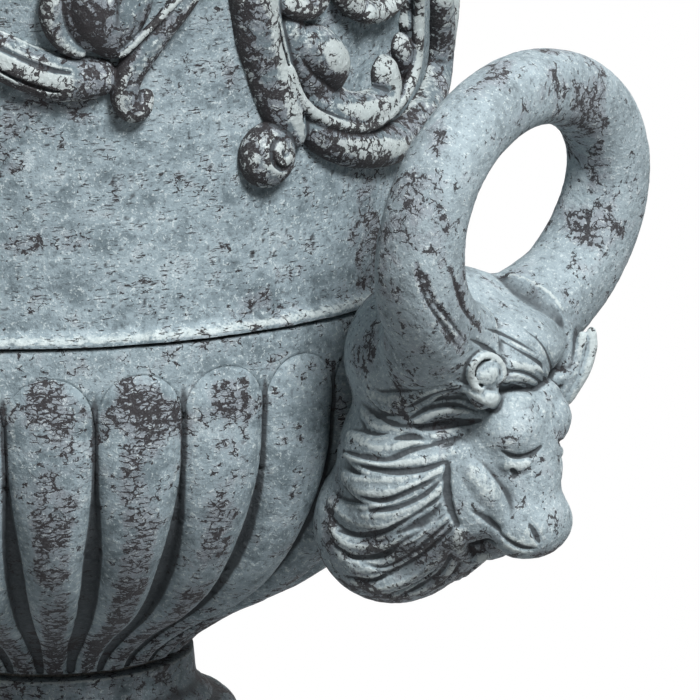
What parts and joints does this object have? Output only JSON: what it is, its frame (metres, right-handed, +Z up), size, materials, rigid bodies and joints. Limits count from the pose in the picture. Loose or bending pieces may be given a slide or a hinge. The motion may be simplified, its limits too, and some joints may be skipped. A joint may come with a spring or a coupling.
{
  "type": "urn planter",
  "caption": "Bell-shaped garden urn planter on a gadrooned bowl, turned foot and square plinth, with lion masks that carry ring handles and with applied scroll ornament.",
  "frame": {"origin": "centre of the plinth's underside, on the floor", "axes": "+Z up along the urn's axis; +X through the right lion mask and ring handle; -Y towards the front ornament"},
  "size_m": [0.6566, 0.5416, 0.6458],
  "materials": {
    "aged_cast_stone": "blue-grey aged zinc wash on pitted cast stone, with dark crackled patches on the high spots",
    "bedding_mortar": "grey mortar",
    "zinc_steel": "dull zinc plating"
  },
  "bodies": {
    "root": {"upper_body": "aged_cast_stone", "lower_bowl": "aged_cast_stone", "foot": "aged_cast_stone", "plinth": "aged_cast_stone", "front_scrolls": "aged_cast_stone", "back_scrolls": "aged_cast_stone", "lion_mask_right": "aged_cast_stone", "ring_handle_right": "aged_cast_stone", "handle_scrolls_right": "aged_cast_stone", "ring_dowel_right_near": "zinc_steel", "ring_dowel_right_far": "zinc_steel", "mask_stud_right_upper": "zinc_steel", "mask_washer_right_upper": "zinc_steel", "mask_nut_right_upper": "zinc_steel", "mask_stud_right_lower": "zinc_steel", "mask_washer_right_lower": "zinc_steel", "mask_nut_right_lower": "zinc_steel", "lion_mask_left": "aged_cast_stone", "ring_handle_left": "aged_cast_stone", "handle_scrolls_left": "aged_cast_stone", "ring_dowel_left_near": "zinc_steel", "ring_dowel_left_far": "zinc_steel", "mask_stud_left_upper": "zinc_steel", "mask_washer_left_upper": "zinc_steel", "mask_nut_left_upper": "zinc_steel", "mask_stud_left_lower": "zinc_steel", "mask_washer_left_lower": "zinc_steel", "mask_nut_left_lower": "zinc_steel", "body_bedding_ring": "bedding_mortar", "foot_bedding_ring": "bedding_mortar", "plinth_bedding_ring": "bedding_mortar", "tie_rod": "zinc_steel", "upper_drain_plate": "zinc_steel", "lower_drain_plate": "zinc_steel", "upper_rod_nut": "zinc_steel", "lower_rod_nut": "zinc_steel"}
  },
  "joints": []
}
